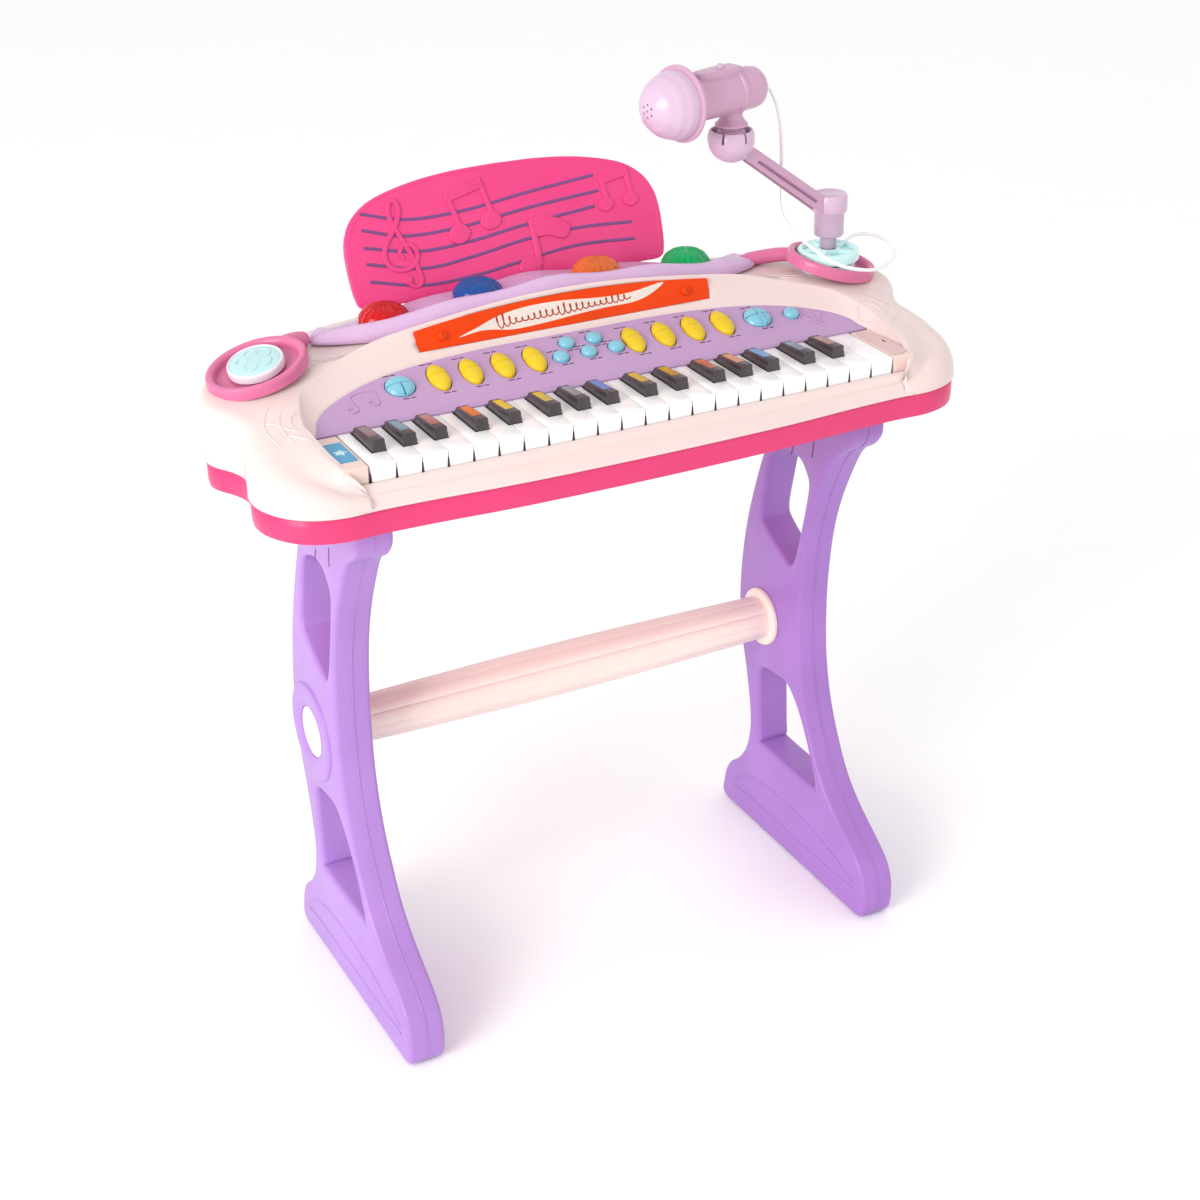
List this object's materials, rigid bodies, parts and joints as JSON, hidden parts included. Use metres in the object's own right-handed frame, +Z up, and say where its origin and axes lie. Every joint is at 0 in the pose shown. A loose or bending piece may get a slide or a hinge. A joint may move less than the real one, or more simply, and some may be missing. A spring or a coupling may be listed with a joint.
{
  "type": "toy electronic keyboard",
  "caption": "Free-standing toy electronic keyboard with hinged keys, push buttons, light domes, a lift-out music stand, a swinging microphone on an arm, two legs and a crossbar.",
  "frame": {"origin": "on the floor, under the middle of the object's box measured without the microphone cord", "axes": "+X runs to the player's right along the keys, +Y points to the back where the music stand is, +Z points up"},
  "size_m": [0.5313, 0.248, 0.6304],
  "materials": {
    "cream_shell": "glossy pale pink moulding",
    "hot_pink": "glossy hot pink moulding",
    "lavender": "satin lavender moulding",
    "purple": "satin purple moulding",
    "peach": "glossy peach-pink moulding",
    "lilac": "satin lilac-pink moulding",
    "mint": "glossy mint moulding",
    "white_key": "glossy white moulding",
    "black_key": "glossy dark grey moulding",
    "yellow": "soft yellow moulding",
    "blue": "light blue moulding",
    "window_orange": "clear orange-red window plate",
    "dome_tint": "tinted translucent domes in four colours",
    "cord_white": "flexible white cord",
    "board_green": "printed circuit board",
    "speaker_black": "paper cone and dark frame",
    "zinc": "small zinc screws"
  },
  "bodies": {
    "casing": {"top_shell": "cream_shell", "bottom_tray": "hot_pink", "control_panel": "lavender", "window_lens": "window_orange", "rear_rail": "lavender", "corner_rings": "hot_pink", "light_domes": "dome_tint", "left_leg": "purple", "right_leg": "purple", "crossbar": "peach", "mic_base": "mint", "mic_cord": "cord_white", "circuit_boards": "board_green", "speaker": "speaker_black", "screws": "zinc"},
    "music_stand": {"music_stand": "hot_pink"},
    "effect_disc": {"effect_disc": "mint"},
    "yellow_buttons": {"yellow_buttons": "yellow"},
    "blue_buttons": {"blue_buttons": "blue"},
    "mic_arm": {"mic_arm": "lilac"},
    "microphone": {"mic_body": "lilac"},
    "mic_switch": {"mic_switch": "lilac"},
    "battery_door": {"battery_door": "hot_pink"},
    "white_key_1": {"white_key_1": "white_key"},
    "white_key_2": {"white_key_2": "white_key"},
    "white_key_3": {"white_key_3": "white_key"},
    "white_key_4": {"white_key_4": "white_key"},
    "white_key_5": {"white_key_5": "white_key"},
    "white_key_6": {"white_key_6": "white_key"},
    "white_key_7": {"white_key_7": "white_key"},
    "white_key_8": {"white_key_8": "white_key"},
    "white_key_9": {"white_key_9": "white_key"},
    "white_key_10": {"white_key_10": "white_key"},
    "white_key_11": {"white_key_11": "white_key"},
    "white_key_12": {"white_key_12": "white_key"},
    "white_key_13": {"white_key_13": "white_key"},
    "white_key_14": {"white_key_14": "white_key"},
    "white_key_15": {"white_key_15": "white_key"},
    "white_key_16": {"white_key_16": "white_key"},
    "white_key_17": {"white_key_17": "white_key"},
    "white_key_18": {"white_key_18": "white_key"},
    "white_key_19": {"white_key_19": "white_key"},
    "white_key_20": {"white_key_20": "white_key"},
    "white_key_21": {"white_key_21": "white_key"},
    "white_key_22": {"white_key_22": "white_key"},
    "black_key_1": {"black_key_1": "black_key"},
    "black_key_2": {"black_key_2": "black_key"},
    "black_key_3": {"black_key_3": "black_key"},
    "black_key_4": {"black_key_4": "black_key"},
    "black_key_5": {"black_key_5": "black_key"},
    "black_key_6": {"black_key_6": "black_key"},
    "black_key_7": {"black_key_7": "black_key"},
    "black_key_8": {"black_key_8": "black_key"},
    "black_key_9": {"black_key_9": "black_key"},
    "black_key_10": {"black_key_10": "black_key"},
    "black_key_11": {"black_key_11": "black_key"},
    "black_key_12": {"black_key_12": "black_key"},
    "black_key_13": {"black_key_13": "black_key"},
    "black_key_14": {"black_key_14": "black_key"},
    "black_key_15": {"black_key_15": "black_key"}
  },
  "joints": [
    {"name": "white_key_1_press", "type": "hinge", "parent": "casing", "child": "white_key_1", "pos_m": [0, -0.024, 0.431], "axis": [1, 0, 0], "range_deg": [0, 4], "stiffness_Nm_per_rad": 0.3, "springref_deg": -2.86},
    {"name": "white_key_2_press", "type": "hinge", "parent": "casing", "child": "white_key_2", "pos_m": [0, -0.024, 0.431], "axis": [1, 0, 0], "range_deg": [0, 4], "stiffness_Nm_per_rad": 0.3, "springref_deg": -2.86},
    {"name": "white_key_3_press", "type": "hinge", "parent": "casing", "child": "white_key_3", "pos_m": [0, -0.024, 0.431], "axis": [1, 0, 0], "range_deg": [0, 4], "stiffness_Nm_per_rad": 0.3, "springref_deg": -2.86},
    {"name": "white_key_4_press", "type": "hinge", "parent": "casing", "child": "white_key_4", "pos_m": [0, -0.024, 0.431], "axis": [1, 0, 0], "range_deg": [0, 4], "stiffness_Nm_per_rad": 0.3, "springref_deg": -2.86},
    {"name": "white_key_5_press", "type": "hinge", "parent": "casing", "child": "white_key_5", "pos_m": [0, -0.024, 0.431], "axis": [1, 0, 0], "range_deg": [0, 4], "stiffness_Nm_per_rad": 0.3, "springref_deg": -2.86},
    {"name": "white_key_6_press", "type": "hinge", "parent": "casing", "child": "white_key_6", "pos_m": [0, -0.024, 0.431], "axis": [1, 0, 0], "range_deg": [0, 4], "stiffness_Nm_per_rad": 0.3, "springref_deg": -2.86},
    {"name": "white_key_7_press", "type": "hinge", "parent": "casing", "child": "white_key_7", "pos_m": [0, -0.024, 0.431], "axis": [1, 0, 0], "range_deg": [0, 4], "stiffness_Nm_per_rad": 0.3, "springref_deg": -2.86},
    {"name": "white_key_8_press", "type": "hinge", "parent": "casing", "child": "white_key_8", "pos_m": [0, -0.024, 0.431], "axis": [1, 0, 0], "range_deg": [0, 4], "stiffness_Nm_per_rad": 0.3, "springref_deg": -2.86},
    {"name": "white_key_9_press", "type": "hinge", "parent": "casing", "child": "white_key_9", "pos_m": [0, -0.024, 0.431], "axis": [1, 0, 0], "range_deg": [0, 4], "stiffness_Nm_per_rad": 0.3, "springref_deg": -2.86},
    {"name": "white_key_10_press", "type": "hinge", "parent": "casing", "child": "white_key_10", "pos_m": [0, -0.024, 0.431], "axis": [1, 0, 0], "range_deg": [0, 4], "stiffness_Nm_per_rad": 0.3, "springref_deg": -2.86},
    {"name": "white_key_11_press", "type": "hinge", "parent": "casing", "child": "white_key_11", "pos_m": [0, -0.024, 0.431], "axis": [1, 0, 0], "range_deg": [0, 4], "stiffness_Nm_per_rad": 0.3, "springref_deg": -2.86},
    {"name": "white_key_12_press", "type": "hinge", "parent": "casing", "child": "white_key_12", "pos_m": [0, -0.024, 0.431], "axis": [1, 0, 0], "range_deg": [0, 4], "stiffness_Nm_per_rad": 0.3, "springref_deg": -2.86},
    {"name": "white_key_13_press", "type": "hinge", "parent": "casing", "child": "white_key_13", "pos_m": [0, -0.024, 0.431], "axis": [1, 0, 0], "range_deg": [0, 4], "stiffness_Nm_per_rad": 0.3, "springref_deg": -2.86},
    {"name": "white_key_14_press", "type": "hinge", "parent": "casing", "child": "white_key_14", "pos_m": [0, -0.024, 0.431], "axis": [1, 0, 0], "range_deg": [0, 4], "stiffness_Nm_per_rad": 0.3, "springref_deg": -2.86},
    {"name": "white_key_15_press", "type": "hinge", "parent": "casing", "child": "white_key_15", "pos_m": [0, -0.024, 0.431], "axis": [1, 0, 0], "range_deg": [0, 4], "stiffness_Nm_per_rad": 0.3, "springref_deg": -2.86},
    {"name": "white_key_16_press", "type": "hinge", "parent": "casing", "child": "white_key_16", "pos_m": [0, -0.024, 0.431], "axis": [1, 0, 0], "range_deg": [0, 4], "stiffness_Nm_per_rad": 0.3, "springref_deg": -2.86},
    {"name": "white_key_17_press", "type": "hinge", "parent": "casing", "child": "white_key_17", "pos_m": [0, -0.024, 0.431], "axis": [1, 0, 0], "range_deg": [0, 4], "stiffness_Nm_per_rad": 0.3, "springref_deg": -2.86},
    {"name": "white_key_18_press", "type": "hinge", "parent": "casing", "child": "white_key_18", "pos_m": [0, -0.024, 0.431], "axis": [1, 0, 0], "range_deg": [0, 4], "stiffness_Nm_per_rad": 0.3, "springref_deg": -2.86},
    {"name": "white_key_19_press", "type": "hinge", "parent": "casing", "child": "white_key_19", "pos_m": [0, -0.024, 0.431], "axis": [1, 0, 0], "range_deg": [0, 4], "stiffness_Nm_per_rad": 0.3, "springref_deg": -2.86},
    {"name": "white_key_20_press", "type": "hinge", "parent": "casing", "child": "white_key_20", "pos_m": [0, -0.024, 0.431], "axis": [1, 0, 0], "range_deg": [0, 4], "stiffness_Nm_per_rad": 0.3, "springref_deg": -2.86},
    {"name": "white_key_21_press", "type": "hinge", "parent": "casing", "child": "white_key_21", "pos_m": [0, -0.024, 0.431], "axis": [1, 0, 0], "range_deg": [0, 4], "stiffness_Nm_per_rad": 0.3, "springref_deg": -2.86},
    {"name": "white_key_22_press", "type": "hinge", "parent": "casing", "child": "white_key_22", "pos_m": [0, -0.024, 0.431], "axis": [1, 0, 0], "range_deg": [0, 4], "stiffness_Nm_per_rad": 0.3, "springref_deg": -2.86},
    {"name": "black_key_1_press", "type": "hinge", "parent": "casing", "child": "black_key_1", "pos_m": [0, -0.024, 0.431], "axis": [1, 0, 0], "range_deg": [0, 4], "stiffness_Nm_per_rad": 0.3, "springref_deg": -2.86},
    {"name": "black_key_2_press", "type": "hinge", "parent": "casing", "child": "black_key_2", "pos_m": [0, -0.024, 0.431], "axis": [1, 0, 0], "range_deg": [0, 4], "stiffness_Nm_per_rad": 0.3, "springref_deg": -2.86},
    {"name": "black_key_3_press", "type": "hinge", "parent": "casing", "child": "black_key_3", "pos_m": [0, -0.024, 0.431], "axis": [1, 0, 0], "range_deg": [0, 4], "stiffness_Nm_per_rad": 0.3, "springref_deg": -2.86},
    {"name": "black_key_4_press", "type": "hinge", "parent": "casing", "child": "black_key_4", "pos_m": [0, -0.024, 0.431], "axis": [1, 0, 0], "range_deg": [0, 4], "stiffness_Nm_per_rad": 0.3, "springref_deg": -2.86},
    {"name": "black_key_5_press", "type": "hinge", "parent": "casing", "child": "black_key_5", "pos_m": [0, -0.024, 0.431], "axis": [1, 0, 0], "range_deg": [0, 4], "stiffness_Nm_per_rad": 0.3, "springref_deg": -2.86},
    {"name": "black_key_6_press", "type": "hinge", "parent": "casing", "child": "black_key_6", "pos_m": [0, -0.024, 0.431], "axis": [1, 0, 0], "range_deg": [0, 4], "stiffness_Nm_per_rad": 0.3, "springref_deg": -2.86},
    {"name": "black_key_7_press", "type": "hinge", "parent": "casing", "child": "black_key_7", "pos_m": [0, -0.024, 0.431], "axis": [1, 0, 0], "range_deg": [0, 4], "stiffness_Nm_per_rad": 0.3, "springref_deg": -2.86},
    {"name": "black_key_8_press", "type": "hinge", "parent": "casing", "child": "black_key_8", "pos_m": [0, -0.024, 0.431], "axis": [1, 0, 0], "range_deg": [0, 4], "stiffness_Nm_per_rad": 0.3, "springref_deg": -2.86},
    {"name": "black_key_9_press", "type": "hinge", "parent": "casing", "child": "black_key_9", "pos_m": [0, -0.024, 0.431], "axis": [1, 0, 0], "range_deg": [0, 4], "stiffness_Nm_per_rad": 0.3, "springref_deg": -2.86},
    {"name": "black_key_10_press", "type": "hinge", "parent": "casing", "child": "black_key_10", "pos_m": [0, -0.024, 0.431], "axis": [1, 0, 0], "range_deg": [0, 4], "stiffness_Nm_per_rad": 0.3, "springref_deg": -2.86},
    {"name": "black_key_11_press", "type": "hinge", "parent": "casing", "child": "black_key_11", "pos_m": [0, -0.024, 0.431], "axis": [1, 0, 0], "range_deg": [0, 4], "stiffness_Nm_per_rad": 0.3, "springref_deg": -2.86},
    {"name": "black_key_12_press", "type": "hinge", "parent": "casing", "child": "black_key_12", "pos_m": [0, -0.024, 0.431], "axis": [1, 0, 0], "range_deg": [0, 4], "stiffness_Nm_per_rad": 0.3, "springref_deg": -2.86},
    {"name": "black_key_13_press", "type": "hinge", "parent": "casing", "child": "black_key_13", "pos_m": [0, -0.024, 0.431], "axis": [1, 0, 0], "range_deg": [0, 4], "stiffness_Nm_per_rad": 0.3, "springref_deg": -2.86},
    {"name": "black_key_14_press", "type": "hinge", "parent": "casing", "child": "black_key_14", "pos_m": [0, -0.024, 0.431], "axis": [1, 0, 0], "range_deg": [0, 4], "stiffness_Nm_per_rad": 0.3, "springref_deg": -2.86},
    {"name": "black_key_15_press", "type": "hinge", "parent": "casing", "child": "black_key_15", "pos_m": [0, -0.024, 0.431], "axis": [1, 0, 0], "range_deg": [0, 4], "stiffness_Nm_per_rad": 0.3, "springref_deg": -2.86},
    {"name": "yellow_buttons_press", "type": "slide", "parent": "casing", "child": "yellow_buttons", "axis": [0, 0.3219, -0.9468], "range_m": [0, 0.002], "stiffness_N_per_m": 100, "springref_m": -0.005},
    {"name": "blue_buttons_press", "type": "slide", "parent": "casing", "child": "blue_buttons", "axis": [0, 0.3219, -0.9468], "range_m": [0, 0.002], "stiffness_N_per_m": 100, "springref_m": -0.005},
    {"name": "effect_disc_press", "type": "slide", "parent": "casing", "child": "effect_disc", "axis": [0.2401, 0.1219, -0.9631], "range_m": [0, 0.002], "stiffness_N_per_m": 100, "springref_m": -0.005},
    {"name": "music_stand_lift", "type": "slide", "parent": "casing", "child": "music_stand", "axis": [0, 0.3681, 0.9298], "range_m": [0, 0.03]},
    {"name": "arm_swing", "type": "hinge", "parent": "casing", "child": "mic_arm", "pos_m": [0.2135, 0.021, 0.5], "axis": [0, 0, 1], "range_deg": [-20, 30], "deforming": ["mic_cord"]},
    {"name": "microphone_tilt", "type": "hinge", "parent": "mic_arm", "child": "microphone", "pos_m": [0.12362, 0.00676, 0.569], "axis": [0.2419, -0.9703, 0], "range_deg": [-12, 12], "deforming": ["mic_cord"]},
    {"name": "mic_switch_slide", "type": "slide", "parent": "microphone", "child": "mic_switch", "axis": [-0.9703, -0.2419, 0], "range_m": [0, 0.003]},
    {"name": "battery_door_drop", "type": "slide", "parent": "casing", "child": "battery_door", "axis": [0, 0, -1], "range_m": [0, 0.03]}
  ]
}
